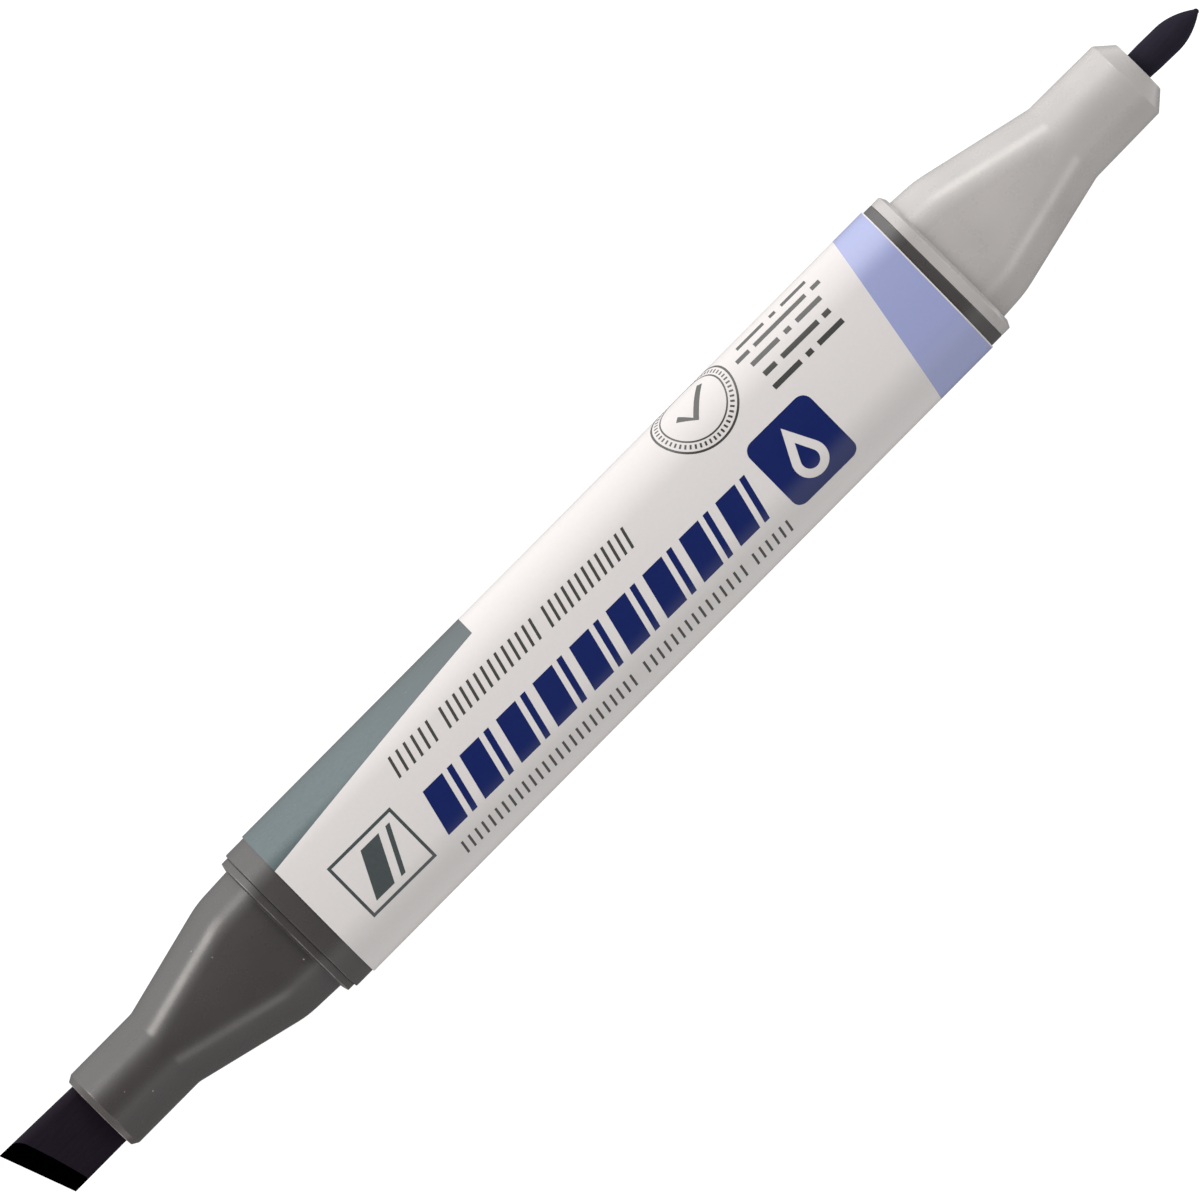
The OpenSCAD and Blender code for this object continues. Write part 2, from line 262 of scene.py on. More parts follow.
DARK_PLASTIC = moulded_plastic("dark_plastic", (0.0432, 0.0398, 0.0387), (0.10, 0.095, 0.09), 0.28)
HOLDER_PLASTIC = moulded_plastic(
    "dark_holder_plastic", (0.0400, 0.0366, 0.0355), (0.34, 0.32, 0.29), 0.27, dust=0.45,
    ink_tinge=((BARREL_START - BROAD_OUT) * MM, 0.0009, (0.072, 0.034, 0.028)),
)
LIGHT_PLASTIC = moulded_plastic("light_plastic", (0.317, 0.302, 0.296), (0.46, 0.44, 0.43), 0.28)
INKS = {
    "white": printed_film("film_white", (0.490, 0.470, 0.466), 0.12),
    "seam": printed_film("film_seam", (0.300, 0.290, 0.288), 0.12),
    "band": printed_film("film_band", (0.229, 0.254, 0.427), 0.65),
    "slate": printed_film(
        "film_slate", (0.0575, 0.0815, 0.087), 0.5, 0.26, 0.03, 0.15,
        ((LABEL_START + 12) * MM, (LABEL_START + 27) * MM, (0.053, 0.066, 0.070)),
    ),
    "navy": printed_film("film_navy", (0.0046, 0.0114, 0.080), 0.5, 0.22, 0.03),
    "line": printed_film("film_line", (0.0455, 0.0546, 0.0564), 0.5, 0.24, 0.03),
    "text": printed_film("film_text", (0.041, 0.041, 0.039), 0.5, 0.24, 0.03),
}
BROAD_FELT = felt("broad_nib_felt", (0.0050, 0.0022, 0.0064), 0.0028, 0.72, 0.10)
FINE_FELT = felt("fine_nib_felt", (0.0128, 0.0110, 0.0188), 0.0035, 0.85, 0.05)
# Near-black felt without gloss for the nib's cut faces: painted shade.
NIB_PAINTED_SHADE = felt("nib_cut_face_shade", (0.0001, 0.0001, 0.0001), 0.0001, 0.6, 0.0)
CORE_FIBRE = felt("reservoir_fibre", (0.392, 0.413, 0.672), 0.12, 0.8, 0.3)
WRAP_FILM = clear_wrap("clear_film")


# --------------------------------------------------------------- mesh makers
CORNER_STEPS = 18
CROWN_STEPS = 5
CROWN_TILT = math.radians(4.5)


def quarter_outline(half_w, half_t, r):
    """One quarter of a crowned oblong, from its side to its top: (y, z, tilt of the normal from the top)."""
    flat = half_w - r + r * math.sin(CROWN_TILT)
    drop = flat * math.tan(CROWN_TILT) / 2
    centre_z = half_t - drop - r * math.cos(CROWN_TILT)
    points = []
    for step in range(CORNER_STEPS + 1):
        tilt = math.pi / 2 + (CROWN_TILT - math.pi / 2) * step / CORNER_STEPS
        points.append((half_w - r + r * math.sin(tilt), centre_z + r * math.cos(tilt), tilt))
    for step in range(1, CROWN_STEPS + 1):
        share = 1 - step / CROWN_STEPS
        points.append((flat * share, half_t - drop * share ** 2, CROWN_TILT * share))
    return points


def outline(half_w, half_t, r):
    """Points round a crowned oblong, anticlockwise from +Y: (y, z, normal y, normal z)."""
    quarter = quarter_outline(half_w, half_t, r)
    points = []
    for side_y, side_z, order in [(1, 1, 1), (-1, 1, -1), (-1, -1, 1), (1, -1, -1)]:
        for y, z, tilt in quarter[::order]:
            points.append((side_y * y, side_z * z, side_y * math.sin(tilt), side_z * math.cos(tilt)))
    return points


def rounded_profile(stations, closed, steps=4):
    """Rings along a profile of (u, half_w, half_t, r, reach[, worn]) stations, rounded over reach.

    Each ring is (sizes, direction of change, worn share), and a corner's worn share is strongest in its
    middle; that share paints scuffs and a pale edge highlight."""
    count = len(stations)
    rings = []
    for i, station in enumerate(stations):
        here = Vector(station[:4])
        ends = not closed and i in (0, count - 1)
        before = Vector(stations[i - 1][:4])
        after = Vector(stations[(i + 1) % count][:4])
        if ends:
            way = after - here if i == 0 else here - before
            rings.append((here, way, 0.0))
            continue
        come, leave = here - before, after - here
        reach = station[4]
        worn = station[5] if len(station) > 5 else 0.0
        first = here - come * min(0.5, reach / come.xyz.length)
        last = here + leave * min(0.5, reach / leave.xyz.length)
        for step in range(steps + 1):
            t = step / steps
            place = first * (1 - t) ** 2 + here * 2 * t * (1 - t) + last * t ** 2
            way = (here - first) * (1 - t) + (last - here) * t
            rings.append((place, way, 4 * t * (1 - t) * worn))
    return rings


def new_object(name, mesh, *materials):
    piece = bpy.data.objects.new(name, mesh)
    bpy.context.scene.collection.objects.link(piece)
    for material in materials:
        mesh.materials.append(material)
    return piece


def loft(name, stations, base_x, side, material, closed=True):
    """Smooth shell or solid through oblong rings; u runs from base_x towards side, +1 or -1 along X."""
    bm = bmesh.new()
    normal_layer = bm.verts.layers.float_vector.new("shade_normal")
    # Share of scuffs and painted pale edge highlight, for each vertex.
    wear_and_highlight_layer = bm.verts.layers.float.new("edge_wear_and_highlight")
    rows = []
    for place, way, wear_and_highlight in rounded_profile(stations, closed):
        u, half_w, half_t, r = place
        row = []
        for y, z, ny, nz in outline(half_w, half_t, r):
            growth = (way[1] - way[3]) * abs(ny) + (way[2] - way[3]) * abs(nz) + way[3]
            normal = Vector((-growth * side, way[0] * ny, way[0] * nz))
            if normal.length < 1e-9:
                normal = Vector((-math.copysign(1, way[1]) * side, 0, 0))
            vertex = bm.verts.new(((base_x + side * u) * MM, y * MM, (AXIS_Z + z) * MM))
            vertex[normal_layer] = normal.normalized()
            vertex[wear_and_highlight_layer] = wear_and_highlight
            row.append(vertex)
        rows.append(row)
    pairs = list(zip(rows, rows[1:] + rows[:1])) if closed else list(zip(rows, rows[1:]))
    for row, next_row in pairs:
        for j in range(len(row)):
            corner = (row[j - 1], row[j], next_row[j], next_row[j - 1])
            bm.faces.new(corner if side > 0 else corner[::-1])
    if not closed:
        bm.faces.new(rows[0][::-1] if side > 0 else rows[0])
        bm.faces.new(rows[-1] if side > 0 else rows[-1][::-1])
    bmesh.ops.remove_doubles(bm, verts=bm.verts, dist=2e-7)
    return finish_mesh(name, bm, material)


def finish_mesh(name, bm, *materials, flat_ends=False):
    """Object from a bmesh, shaded with the normals in its shade_normal layer, or flat on its two ends."""
    for face in bm.faces:
        face.smooth = True
    mesh = bpy.data.meshes.new(name)
    bm.to_mesh(mesh)
    bm.free()
    kept = [tuple(item.vector) for item in mesh.attributes["shade_normal"].data]
    normals = []
    for polygon in mesh.polygons:
        flat = flat_ends and abs(polygon.normal.x) > 0.7
        for i in polygon.loop_indices:
            normals.append(tuple(polygon.normal) if flat else kept[mesh.loops[i].vertex_index])
    mesh.normals_split_custom_set(normals)
    mesh.attributes.remove(mesh.attributes["shade_normal"])
    return new_object(name, mesh, *materials)


# -------------------------------------------------------------------- barrel
def make_barrel():
    inner = (BARREL_HALF_W - BARREL_WALL, BARREL_HALF_T - BARREL_WALL, BARREL_R - BARREL_WALL)
    outer = (BARREL_HALF_W, BARREL_HALF_T, BARREL_R)
    length = BARREL_LEN + FINE_JOINT
    return loft(
        "barrel_shell",
        [(0, *outer, 0.12), (length, *outer, 0.12), (length, *inner, 0.1), (0, *inner, 0.1)],
        BARREL_START, 1, DARK_PLASTIC,
    )


# ------------------------------------------------------------------- holders
PLUG = (6.6, 4.6, 3.55)
PLUG_BORE = (5.4, 3.4, 2.35)
CHAMFER = 0.6


def holder_front(flange, chamfer_len, flange_len, seat_len, taper_len, back=0.0):
    """Outside of a holder from the plug to the start of its round tube; its flange starts at back."""
    bend = (SEAT[0] - 0.15, SEAT[1] - 0.15, SEAT[2])
    front = tuple(size - CHAMFER for size in flange)
    bend_u = flange_len + seat_len
    return [
        (-PLUG_LEN, *PLUG, 0.3),
        (back, *PLUG, 0.05),
        (back, *flange, 0.1),
        # The flange's front edges carry a half share of scuffs and painted pale edge highlight.
        (back + flange_len - chamfer_len, *flange, 0.08, 0.5),
        (back + flange_len, *front, 0.05, 0.5),
        (back + flange_len, *SEAT, 0.05),
        (bend_u, *bend, 1.0),
        (bend_u + taper_len, TUBE_R, TUBE_R, TUBE_R, 0.25),
    ]


def make_broad_holder():
    flange_len, seat_len, taper_len = 0.9, 3.8, 10.5
    tube_u = flange_len + seat_len + taper_len
    mouth_len, mouth_r = 0.6, 3.75
    socket = (BROAD_NIB_HALF_W + 0.05, BROAD_NIB_HALF_T + 0.05, 0.6)
    stations = holder_front((7.6, 5.6, BARREL_R), 0.15, flange_len, seat_len, taper_len) + [
        (BROAD_OUT - mouth_len, TUBE_R, TUBE_R, TUBE_R, 0.1),
        # The mouth's front edge carries a full share of scuffs and painted pale highlight along the rim.
        (BROAD_OUT, mouth_r, mouth_r, mouth_r, 0.08, 1.0),
        (BROAD_OUT, *socket, 0.06),
        (tube_u - 2.5, *socket, 0.5),
        (flange_len, *PLUG_BORE, 0.5),
        (-PLUG_LEN, *PLUG_BORE, 0.2),
    ]
    return loft("broad_holder_shell", stations, BARREL_START, -1, HOLDER_PLASTIC)


def make_fine_holder():
    flange_len, seat_len, taper_len = 1.25, 2.6, 11.25
    tube_u = flange_len + seat_len + taper_len
    mouth_len, mouth_r, guide_len, bore_r = 1.55, 2.65, 4.0, 2.8
    guide_r = FINE_NIB_R + 0.05
    flange = (7.85, 5.85, BARREL_R)
    stations = holder_front(flange, 0.3, flange_len, seat_len, taper_len, FINE_JOINT) + [
        (FINE_OUT - mouth_len, TUBE_R - 0.08, TUBE_R - 0.08, TUBE_R - 0.08, 0.12),
        (FINE_OUT, mouth_r, mouth_r, mouth_r, 0.12),
        (FINE_OUT, guide_r, guide_r, guide_r, 0.08),
        (FINE_OUT - guide_len, guide_r, guide_r, guide_r, 0.1),
        (FINE_OUT - guide_len, bore_r, bore_r, bore_r, 0.1),
        (tube_u, bore_r, bore_r, bore_r, 0.5),
        (flange_len, *PLUG_BORE, 0.5),
        (-PLUG_LEN, *PLUG_BORE, 0.2),
    ]
    return loft("fine_holder_shell", stations, BARREL_END, 1, LIGHT_PLASTIC)


def make_grip_ribs(name, base_x, side, half_w, half_t, material):
    """Four plates inside a holder's plug that keep the nib's shank in the middle."""
    bm = bmesh.new()
    length, rib_w, bite = PLUG_LEN - 0.5, 0.8, 0.1
    for gap, wall, along_y in [(half_w, PLUG_BORE[0], True), (half_t, PLUG_BORE[1], False)]:
        tall = wall + bite - gap
        for way in (-1, 1):
            centre = way * (gap + tall / 2)
            middle = Vector((base_x - side * length / 2, 0, AXIS_Z))
            middle += Vector((0, centre, 0) if along_y else (0, 0, centre))
            size = (length, tall, rib_w) if along_y else (length, rib_w, tall)
            matrix = Matrix.LocRotScale(middle * MM, None, Vector(size) * MM)
            bmesh.ops.create_cube(bm, size=1.0, matrix=matrix)
    mesh = bpy.data.meshes.new(name)
    bm.to_mesh(mesh)
    bm.free()
    return new_object(name, mesh, material)


# ---------------------------------------------------------------------- nibs
def nib_bar(bm):
    """Bar that flares a little towards the tip, rounder along its worn +Y side; it runs on past the tip."""
    widths = [(BROAD_NIB_BACK, 3.25, 0.0), (BROAD_OUT, 3.25, 0.04), (BROAD_NIB_TIP + 3, 3.42, 0.2)]
    rows = []
    for u, half_w, shift in widths:
        worn = outline(half_w, BROAD_NIB_HALF_T, 1.0)
        crisp = outline(half_w, BROAD_NIB_HALF_T, 0.35)
        quarter = len(worn) // 4
        rows.append([
            bm.verts.new(((BARREL_START - u) * MM, (y + shift) * MM, (AXIS_Z + z) * MM))
            for y, z, _, _ in worn[:quarter] + crisp[quarter:-quarter] + worn[-quarter:]
        ])
    for row, next_row in zip(rows, rows[1:]):
        for j in range(len(row)):
            bm.faces.new((row[j - 1], row[j], next_row[j], next_row[j - 1]))
    bm.faces.new(rows[0][::-1])
    bm.faces.new(rows[-1])


def cut_face(bm, point, turn, out, rise):
    """Cuts the bar off square to a line that turns from -X towards -Y and climbs by rise over out."""
    angle = math.radians(turn)
    normal = Vector((-math.cos(angle) * out, -math.sin(angle) * out, rise)).normalized()
    geometry = bm.verts[:] + bm.edges[:] + bm.faces[:]
    cut = bmesh.ops.bisect_plane(
        bm, geom=geometry, plane_co=point * MM, plane_no=normal, clear_outer=True, dist=1e-7,
    )
    rim = [e for e in cut["geom_cut"] if isinstance(e, bmesh.types.BMEdge)]
    for face in bmesh.ops.edgeloop_fill(bm, edges=rim)["faces"]:
        # The cut faces take the second material, which paints them in shade.
        face.material_index = 1


def make_broad_nib():
    """Flat bar of fibre, cut at a slant and bevelled on both faces; its cut faces get a near-black felt
    without gloss, which paints shade on them.
    """
    bm = bmesh.new()
    nib_bar(bm)
    edge_y, edge_z = 3.5, -0.9
    corner = Vector((BARREL_START - BROAD_NIB_TIP, edge_y, AXIS_Z + edge_z))
    front_bevel, back_bevel = (16.5, 2.85, 2.13), (22.4, 1.05, -0.5)
    for turn, out, rise in (front_bevel, back_bevel):
        cut_face(bm, corner, turn, out, rise)
    bmesh.ops.recalc_face_normals(bm, faces=bm.faces)
    mesh = bpy.data.meshes.new("broad_nib_felt")
    for face in bm.faces:
        face.smooth = True
    bm.to_mesh(mesh)
    bm.free()
    piece = new_object("broad_nib_felt", mesh, BROAD_FELT, NIB_PAINTED_SHADE)
    bevel = piece.modifiers.new("worn edges", "BEVEL")
    bevel.width = 0.12 * MM
    bevel.segments = 3
    bevel.limit_method = "ANGLE"
    bevel.angle_limit = math.radians(18)
    bevel.harden_normals = True
    return piece


def make_fine_nib():
    """Round rod of fibre with a pointed arch, waisted where it leaves the holder and leaning a little."""
    point_len, tip_r, lean = 3.7, 0.26, 0.16
    shoulder = FINE_NIB_TIP - point_len
    radii = [(FINE_NIB_BACK, 1.3), (FINE_NIB_BACK + 0.15, FINE_NIB_R), (FINE_OUT, FINE_NIB_R - 0.06)]
    radii += [(FINE_OUT + 1.2, FINE_NIB_R - 0.01), (shoulder, FINE_NIB_R)]
    steps = 14
    for i in range(1, steps + 1):
        s = i / steps
        radii.append((shoulder + s * (point_len - tip_r), FINE_NIB_R - (FINE_NIB_R - tip_r) * s ** 2))
    for i in range(1, 6):
        a = math.radians(15 * i)
        radii.append((FINE_NIB_TIP - tip_r + tip_r * math.sin(a), tip_r * math.cos(a)))
    stations = [(u, radius, radius, radius, 0.04) for u, radius in radii]
    piece = loft("fine_nib_felt", stations, BARREL_END, 1, FINE_FELT, closed=False)
    for vertex in piece.data.vertices:
        beyond = vertex.co.x / MM - BARREL_END - FINE_OUT
        vertex.co.y -= lean * max(0.0, beyond) / (FINE_NIB_TIP - FINE_OUT) * MM
    return piece


# --------------------------------------------------------------------- label
OUT_W, OUT_T, OUT_R = BARREL_HALF_W + LABEL_T, BARREL_HALF_T + LABEL_T, BARREL_R + LABEL_T
FLAT_W = OUT_W - OUT_R + OUT_R * math.sin(CROWN_TILT)
CROWN_DROP = FLAT_W * math.tan(CROWN_TILT) / 2
FLAT_T = OUT_T - CROWN_DROP - OUT_R * math.cos(CROWN_TILT)
ARC = OUT_R * (math.pi / 2 - CROWN_TILT)
SIDE_END = FLAT_W + ARC + 2 * FLAT_T
HALF_GIRTH = SIDE_END + ARC + FLAT_W


def wrap(s):
    """Place round the sleeve at arc length s from the middle of the front: y, z, normal y, normal z."""
    way = math.copysign(1, s)
    d = abs(s)
    face = 1
    if d > FLAT_W + ARC + FLAT_T:
        d = HALF_GIRTH - d
        face = -1
    if d <= FLAT_W:
        tilt = CROWN_TILT * d / FLAT_W
        y, z = d, OUT_T - CROWN_DROP * (d / FLAT_W) ** 2
    elif d <= FLAT_W + ARC:
        tilt = CROWN_TILT + (d - FLAT_W) / OUT_R
        y, z = OUT_W - OUT_R + OUT_R * math.sin(tilt), FLAT_T + OUT_R * math.cos(tilt)
    else:
        tilt = math.pi / 2
        y, z = OUT_W, FLAT_T - (d - FLAT_W - ARC)
    return way * y, face * z, way * math.sin(tilt), face * math.cos(tilt)


def box_shape(x0, x1, y0, y1):
    return [(x0, y0), (x1, y0), (x1, y1), (x0, y1)]


def slanted(x0, x1, y0, y1, slant):
    """Upright bar whose top leans towards +X by slant for each unit of height."""
    lean = slant * (y1 - y0)
    return [(x0, y0), (x1, y0), (x1 + lean, y1), (x0 + lean, y1)]


def disc(cx, cy, r, steps=48):
    turn = 2 * math.pi / steps
    return [(cx + r * math.cos(i * turn), cy + r * math.sin(i * turn)) for i in range(steps)]


def soft_box(x0, x1, y0, y1, r, steps=6):
    """Rectangle with round corners."""
    points = []
    corners = [(x1 - r, y1 - r), (x0 + r, y1 - r), (x0 + r, y0 + r), (x1 - r, y0 + r)]
    for quarter, (cx, cy) in enumerate(corners):
        for step in range(steps + 1):
            a = (quarter + step / steps) * math.pi / 2
            points.append((cx + r * math.cos(a), cy + r * math.sin(a)))
    return points


def ribbon(centre_line, width):
    """Outline of a stroke of even width along a line of points."""
    left, right = [], []
    for i, (x, y) in enumerate(centre_line):
        xa, ya = centre_line[max(0, i - 1)]
        xb, yb = centre_line[min(len(centre_line) - 1, i + 1)]
        length = math.hypot(xb - xa, yb - ya)
        nx, ny = -(yb - ya) / length * width / 2, (xb - xa) / length * width / 2
        left.append((x + nx, y + ny))
        right.append((x - nx, y - ny))
    return left + right[::-1]


def droplet(cx, cy, r, height):
    """Drop with a round foot of radius r and a point at the given height above its centre."""
    start = math.acos(r / height)
    points = [(cx, cy + height)]
    steps = 30
    for i in range(steps + 1):
        a = math.pi / 2 - start - (2 * math.pi - 2 * start) * i / steps
        points.append((cx + r * math.cos(a), cy + r * math.sin(a)))
    return points


def colour_band():
    """Colour band at the fine end, cut by a slanted plane, and the film's pale cut edge beyond it."""
    edge = LABEL_END - 5.0
    rise = 1.41 / OUT_W
    span = [i * HALF_GIRTH / 24 for i in range(-24, 25)]
    band = [(edge + rise * wrap(s)[0], s) for s in span]
    return [
        ("band", band + [(LABEL_END + 1, HALF_GIRTH), (LABEL_END + 1, -HALF_GIRTH)]),
        ("white", box_shape(LABEL_END - 0.12, LABEL_END + 1, -HALF_GIRTH, HALF_GIRTH)),
    ]


def film_seam():
    """Cut edges of the film where they meet along the middle of the back."""
    shapes = []
    for side in (-1, 1):
        edges = sorted((side * HALF_GIRTH, side * (HALF_GIRTH - 0.05)))
        shapes.append(("seam", box_shape(LABEL_START, LABEL_END, *edges)))
    return shapes


def slate_wedge():
    """Slate area over the edge at the broad end."""
    wedge_end, over = LABEL_START + 26.1, SIDE_END + 2
    start = LABEL_START - 1
    return [("slate", [(start, 3.95), (wedge_end, 6.6), (wedge_end, over), (start, over + 3)])]


def stroke_pictogram():
    """Framed pictogram of a broad and a fine stroke."""
    x0, x1, y0, y1, rule = -33.5, -26.0, -5.2, 0.6, 0.29
    return [
        ("line", box_shape(x0, x1, y0, y1)),
        ("white", box_shape(x0 + rule, x1 - rule, y0 + rule, y1 - rule)),
        ("line", slanted(x0 + 1.15, x0 + 3.3, y0 + 0.9, y1 - 0.9, 0.5)),
        ("line", slanted(x0 + 4.1, x0 + 4.6, y0 + 0.9, y1 - 0.9, 0.5)),
    ]


def stroke_row():
    """Row of bold slanted strokes, each broad one followed by a fine one."""
    row_x, row_end, count, foot, head = -24.1, 15.1, 9, -4.65, -0.45
    pitch = (row_end - row_x) / count
    shapes = []
    for i in range(count):
        x = row_x + i * pitch
        shapes.append(("navy", slanted(x, x + 2.3, foot, head, 0.24)))
        shapes.append(("navy", slanted(x + 2.85, x + 3.45, foot, head, 0.24)))
    return shapes


def tick_lines():
    """Thin slanted ticks above and below the row of strokes."""
    lines = [
        ([(-23.7, -19.3), (-17.7, -7.0), (-5.5, 4.0)], 1.72, 1.95, 0.28, 0.25),
        ([(-24.0, -3.9), (-2.3, 9.3), (10.7, 14.7)], -7.3, 1.4, 0.24, 0.12),
    ]
    shapes = []
    for runs, foot, tall, stroke, slant in lines:
        for start, stop in runs:
            count = round((stop - start) / 0.82)
            for i in range(count + 1):
                x = start + (stop - start) * i / count
                shapes.append(("text", slanted(x, x + stroke, foot, foot + tall, slant)))
    return shapes


def drop_badge():
    """Dark badge with a drop."""
    return [
        ("navy", soft_box(16.5, 23.8, -6.1, 1.1, 1.0)),
        ("white", droplet(20.15, -3.45, 1.65, 3.6)),
        ("navy", droplet(20.15, -3.45, 0.85, 1.9)),
    ]


def ring_seal():
    """Plain ring with short ticks round it and a check mark, which runs over the edge."""
    cx, cy = 16.1, 7.2
    shapes = [("text", disc(cx, cy, 4.36, 72)), ("white", disc(cx, cy, 4.15, 72))]
    ticks = 52
    for i in range(ticks):
        a = 2 * math.pi * i / ticks
        line = [(cx + r * math.cos(a), cy + r * math.sin(a)) for r in (3.55, 3.95)]
        shapes.append(("text", ribbon(line, 0.19)))
    shapes += [("text", disc(cx, cy, 3.38, 60)), ("white", disc(cx, cy, 3.22, 60))]
    check = [(cx - 1.7, cy + 0.1), (cx - 0.45, cy - 1.3), (cx + 1.8, cy + 1.5)]
    shapes.append(("text", ribbon(check, 0.6)))
    return shapes


def bar_block():
    """Block of five rows of short bars."""
    even = [(22.2, 25.4), (26.1, 26.8), (27.5, 30.4)]
    rows = [
        (2.75, even),
        (4.15, [(22.4, 23.8), (24.5, 28.8), (29.4, 30.2)]),
        (5.55, even),
        (6.85, [(21.4, 22.9), (23.5, 29.6), (30.3, 31.3)]),
        (8.15, even),
    ]
    shapes = []
    for foot, bars in rows:
        shapes += [("text", box_shape(start, stop, foot, foot + 0.5)) for start, stop in bars]
    return shapes


def print_shapes():
    """Everything printed on the sleeve as (ink, outline) in print order, from plain shapes only."""
    shapes = colour_band() + film_seam() + slate_wedge() + stroke_pictogram() + stroke_row()
    return shapes + tick_lines() + drop_badge() + ring_seal() + bar_block()


def cut_print():
    """Sleeve laid flat and cut along its bends and its print: the points, and triangles with their inks."""
    lines = [FLAT_W * i / CROWN_STEPS for i in range(CROWN_STEPS)]
    lines += [FLAT_W + ARC * i / CORNER_STEPS for i in range(CORNER_STEPS + 1)]
    lines += [HALF_GIRTH - d for d in lines]
    points, faces, edges, inks = [], [], [], []

    def add_outline(shape, ink):
        area = sum(a[0] * b[1] - b[0] * a[1] for a, b in zip(shape, shape[1:] + shape[:1]))
        shape = shape if area > 0 else shape[::-1]
        first = len(points)
        points.extend(Vector(p) for p in shape)
        faces.append(list(range(first, len(points))))
        inks.append(ink)

    add_outline(box_shape(LABEL_START, LABEL_END, -HALF_GIRTH, HALF_GIRTH), "white")
    for s in sorted({way * d for d in lines for way in (-1, 1)}):
        points.extend([Vector((LABEL_START, s)), Vector((LABEL_END, s))])
        edges.append((len(points) - 2, len(points) - 1))
    for ink, shape in print_shapes():
        clipped = [(min(max(x, LABEL_START), LABEL_END), s) for x, s in shape]
        skewed = clipped if ink in ("band", "slate") else [(x, s - PRINT_SKEW * x) for x, s in clipped]
        add_outline(skewed, ink)
    flat, _, triangles, _, _, sources = delaunay_2d_cdt(points, edges, faces, 1, 1e-5, True)
    inked = [(triangle, inks[max(source)]) for triangle, source in zip(triangles, sources) if source]
    return flat, inked


def wrapped_vertex(bm, layer, x, s):
    """Vertex on the sleeve's outside, for a point x along it and s round it when it is laid flat."""
    y, z, ny, nz = wrap(s)
    near_end = max(0.0, x - LABEL_END + END_STRETCH) / END_STRETCH
    lean = PRINT_SKEW + (END_SKEW - PRINT_SKEW) * near_end
    vertex = bm.verts.new(((x + lean * y - END_DRAW * near_end) * MM, y * MM, (AXIS_Z + z) * MM))
    vertex[layer] = Vector((0, ny, nz))
    return vertex


def thicken(bm, layer, thickness):
    """Gives an open skin an inside and walls along its rim."""
    skin = list(bm.faces)
    rim = [e for e in bm.edges if len(e.link_faces) == 1]
    twin = {}
    for vertex in list(bm.verts):
        normal = vertex[layer]
        twin[vertex] = bm.verts.new(vertex.co - normal * thickness)
        twin[vertex][layer] = -normal
    for face in skin:
        bm.faces.new([twin[v] for v in reversed(face.verts)])
    for edge in rim:
        a, b = edge.verts
        first, second = (a, b) if edge.link_loops[0].vert == b else (b, a)
        bm.faces.new((first, second, twin[second], twin[first]))


def make_label():
    """Thin sleeve whose outside is cut along the print, so that every ink has its own faces."""
    flat, inked = cut_print()
    names = list(INKS)
    bm = bmesh.new()
    layer = bm.verts.layers.float_vector.new("shade_normal")
    outer = [wrapped_vertex(bm, layer, x, s) for x, s in flat]
    for triangle, ink in inked:
        face = bm.faces.new([outer[i] for i in triangle])
        face.material_index = names.index(ink)
    bmesh.ops.remove_doubles(bm, verts=bm.verts, dist=5e-8)
    thicken(bm, layer, LABEL_T * MM)
    bm.normal_update()
    return finish_mesh("label_print", bm, *INKS.values(), flat_ends=True)


# ------------------------------------------------------------------- assembly
def attach(piece, body, slot, *nodes):
    """Puts a piece on its body, in place of the CAD nodes that it redraws; slot is not used."""
    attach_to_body(piece, body)
    if nodes:
        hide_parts(*nodes)


attach(make_barrel(), "barrel_body", "dark_plastic", "barrel")
attach(make_label(), "barrel_body", "label_film", "label_sleeve")
attach(make_broad_holder(), "broad_unit", "dark_plastic", "broad_holder")
attach(make_fine_holder(), "fine_unit", "light_plastic", "fine_holder")
broad_grip = ("broad_grip_ribs", BARREL_START, -1, BROAD_NIB_HALF_W + 0.05, BROAD_NIB_HALF_T + 0.05)
fine_grip = ("fine_grip_ribs", BARREL_END, 1, FINE_NIB_R + 0.05, FINE_NIB_R + 0.05)
attach(make_grip_ribs(*broad_grip, HOLDER_PLASTIC), "broad_unit", "dark_plastic")
attach(make_grip_ribs(*fine_grip, LIGHT_PLASTIC), "fine_unit", "light_plastic")
attach(make_broad_nib(), "broad_tip", "nib_felt", "broad_nib")
attach(make_fine_nib(), "fine_tip", "nib_felt", "fine_nib")

for node, material in (("reservoir_core", CORE_FIBRE), ("reservoir_film", WRAP_FILM)):
    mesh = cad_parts[node].data
    mesh.materials.clear()
    mesh.materials.append(material)


# ------------------------------------------------------- stage, light, camera
def make_floor():
    mesh = bpy.data.meshes.new("floor")
    size = 3.0
    mesh.from_pydata(
        [(-size, -size, 0), (size, -size, 0), (size, size, 0), (-size, size, 0)], [], [(0, 1, 2, 3)]
    )
    material, shader, add, join = new_material("floor_paper", Roughness=0.9)
    shader.inputs["Emission Color"].default_value = (1.0, 1.0, 1.0, 1.0)
    shader.inputs["Emission Strength"].default_value = 0.90
    tone = object_noise(add, join, 40.0, 2.0)
    join(ramp(add, join, tone, [(0.3, 0.20), (0.7, 0.21)]), shader.inputs["Base Color"])
    floor = new_object("floor", mesh, material)
    floor.visible_glossy = False


def make_softbox(name, direction, distance, size, radiance):
    """Area light of an even radiance that faces the marker from a direction."""
    way = Vector(direction).normalized()
    lamp = bpy.data.lights.new(name, "AREA")
    lamp.shape = "RECTANGLE"
    lamp.size, lamp.size_y = size
    lamp.energy = radiance * math.pi * size[0] * size[1]
    lamp.color = (1.0, 0.96, 0.90)
    holder = bpy.data.objects.new(name, lamp)
    holder.location = way * distance
    holder.rotation_euler = way.to_track_quat("Z", "Y").to_euler()
    bpy.context.scene.collection.objects.link(holder)


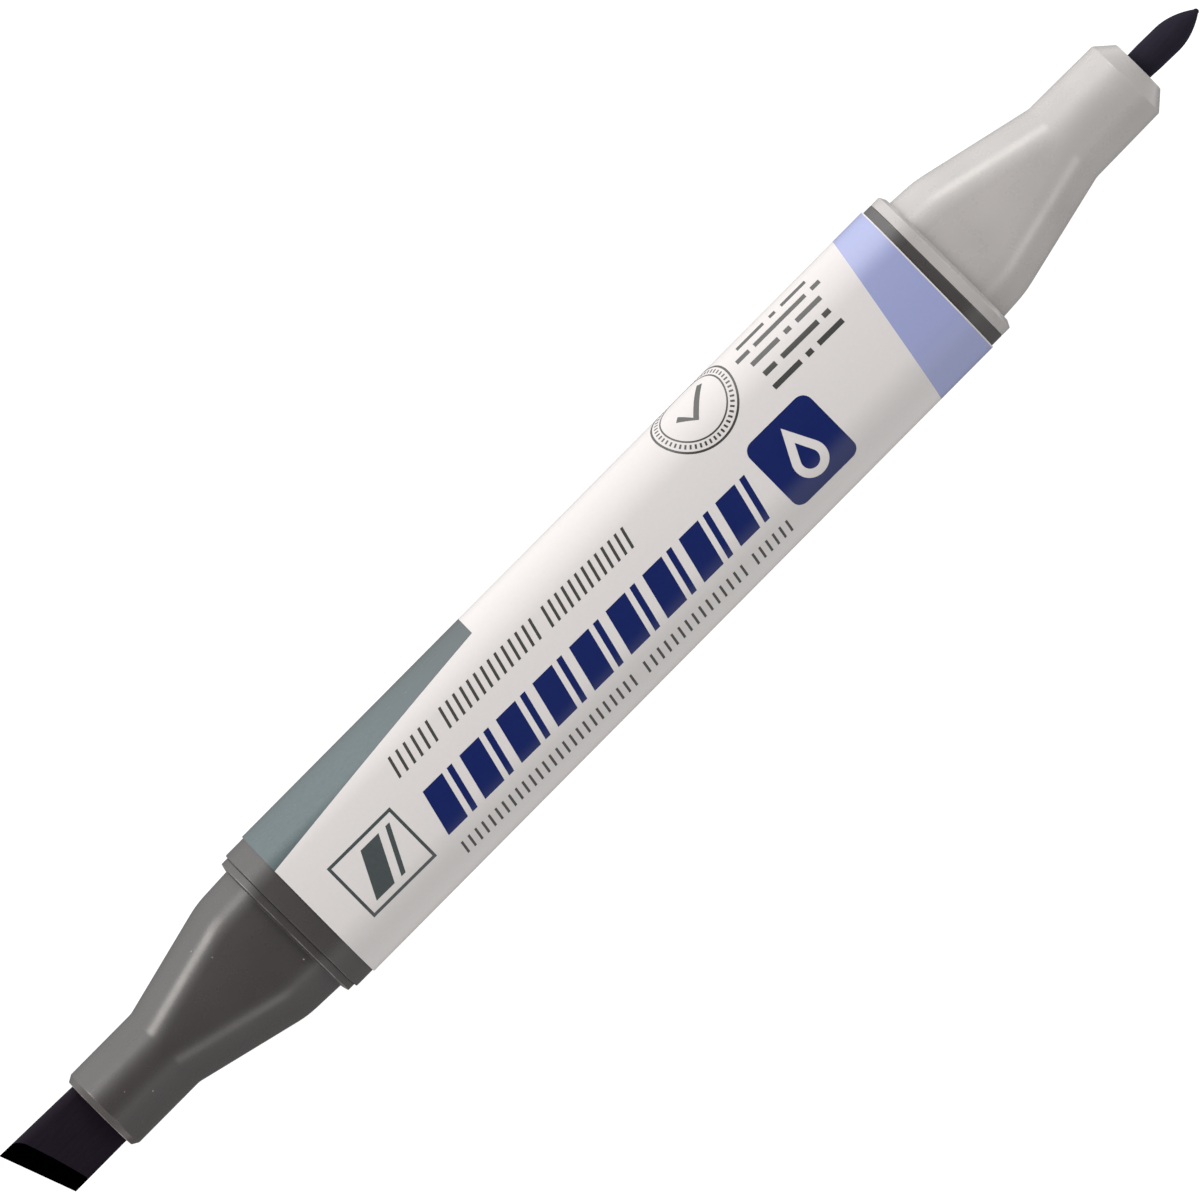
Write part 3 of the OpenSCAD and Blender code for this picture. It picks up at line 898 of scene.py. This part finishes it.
# Radiance of the light tent round the marker's long axis: the dark gap that the camera looks through (0),
# the window on the marker's +Y side (58 degrees), the weaker -Y side, and what comes up from below (180).
TENT = [
    (-150, 0.16), (-122, 0.34), (-104, 0.47), (-90, 0.62), (-72, 0.74), (-56, 0.80), (-44, 0.80),
    (-34, 0.62), (-24, 0.32), (-12, 0.05), (0, 0.06), (12, 0.16), (22, 0.50), (34, 1.35),
    (46, 2.38), (58, 2.98), (75, 2.92), (90, 2.66), (104, 2.15), (122, 1.35), (140, 0.72), (160, 0.30),
]
# What shines in along the axis, by how far it leans towards X: it falls off towards the marker's two ends.
TENT_ENDS = [(0.70, 1.42), (0.88, 0.90), (1.0, 0.50)]
TENT_PEAK = 3.3
TENT_LEVEL = 1.03


def make_light_tent():
    world = bpy.data.worlds.new("light_tent")
    bpy.context.scene.world = world
    add, join = node_maker(world)
    output = add("ShaderNodeOutputWorld")
    background = add("ShaderNodeBackground", Strength=TENT_PEAK * TENT_LEVEL)
    join(background.outputs["Background"], output.inputs["Surface"])
    coords = add("ShaderNodeTexCoord")
    split = add("ShaderNodeSeparateXYZ")
    join(coords.outputs["Generated"], split.inputs["Vector"])
    turn = add("ShaderNodeMath", operation="ARCTAN2")
    join(split.outputs["Y"], turn.inputs[0])
    join(split.outputs["Z"], turn.inputs[1])
    share = add("ShaderNodeMapRange")
    share.inputs["From Min"].default_value = -math.pi
    share.inputs["From Max"].default_value = math.pi
    join(turn.outputs["Value"], share.inputs["Value"])
    stops = [(angle / 360 + 0.5, radiance / TENT_PEAK) for angle, radiance in TENT]
    arc = ramp(add, join, share.outputs["Result"], stops)
    endwise = add("ShaderNodeMath", operation="ABSOLUTE")
    join(split.outputs["X"], endwise.inputs[0])
    fade = add("ShaderNodeMapRange", interpolation_type="SMOOTHSTEP")
    fade.inputs["From Min"].default_value = 0.46
    fade.inputs["From Max"].default_value = 0.62
    join(endwise.outputs["Value"], fade.inputs["Value"])
    end_stops = [(reach, radiance / TENT_PEAK) for reach, radiance in TENT_ENDS]
    ends = ramp(add, join, endwise.outputs["Value"], end_stops)
    join(mix(add, join, fade.outputs["Result"], arc, ends), background.inputs["Color"])


def make_camera():
    """Looks straight down on the marker, turned so that it lies from lower left to upper right."""
    data = bpy.data.cameras.new("camera")
    data.sensor_width = 36.0
    distance, view_width = 2400.0, 102.0
    data.lens = data.sensor_width * distance / view_width
    data.clip_start, data.clip_end = 0.01, 20.0
    camera = bpy.data.objects.new("camera", data)
    camera.location = Vector((-0.95, 0.57, AXIS_Z + distance)) * MM
    camera.rotation_euler = (0.0, 0.0, math.radians(-45.23))
    bpy.context.scene.collection.objects.link(camera)
    bpy.context.scene.camera = camera


make_floor()
make_light_tent()
make_softbox("glint_broad_upper", (-0.350, 0.735, 0.581), 0.9, (0.30, 0.30), 7.6)
make_softbox("glint_broad_lower", (-0.340, -0.640, 0.690), 0.9, (0.28, 0.28), 1.7)
make_softbox("glint_fine_upper", (0.380, 0.790, 0.490), 0.9, (0.26, 0.28), 6.5)
make_softbox("glint_fine_lower", (0.360, -0.725, 0.585), 0.9, (0.24, 0.26), 4.0)
make_camera()
bpy.context.scene.view_settings.view_transform = "Standard"
